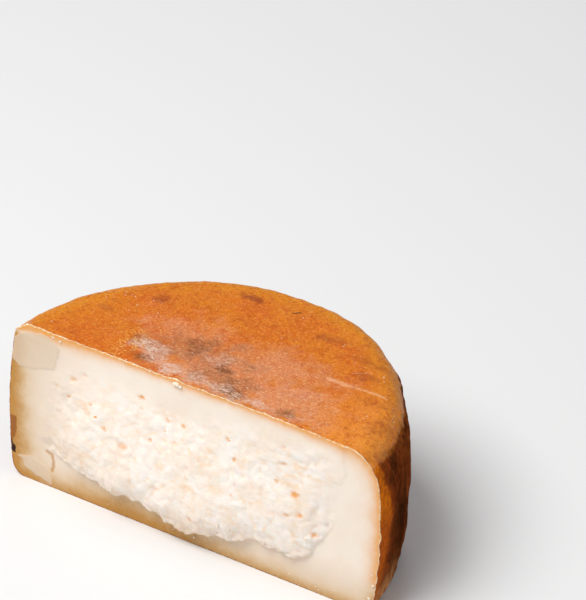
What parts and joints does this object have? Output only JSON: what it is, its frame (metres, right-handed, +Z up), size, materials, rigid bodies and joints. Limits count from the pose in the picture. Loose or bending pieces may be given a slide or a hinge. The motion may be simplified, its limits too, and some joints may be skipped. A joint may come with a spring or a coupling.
{
  "type": "pecorino cheese, half wheel",
  "caption": "Half wheel of aged pecorino standing on its flat base, with an orange-brown rind and a pale cut face whose crumbly paste stands out in a torn mass.",
  "frame": {"origin": "middle of the base, under the middle of the half wheel's bounding box", "axes": "+Z up, X along the cut, the cut face looks along -Y and the round side along +Y"},
  "size_m": [0.2, 0.1082, 0.0847],
  "materials": {
    "cheese": "satin"
  },
  "bodies": {
    "root": {"pecorino_half": "cheese"}
  },
  "joints": []
}
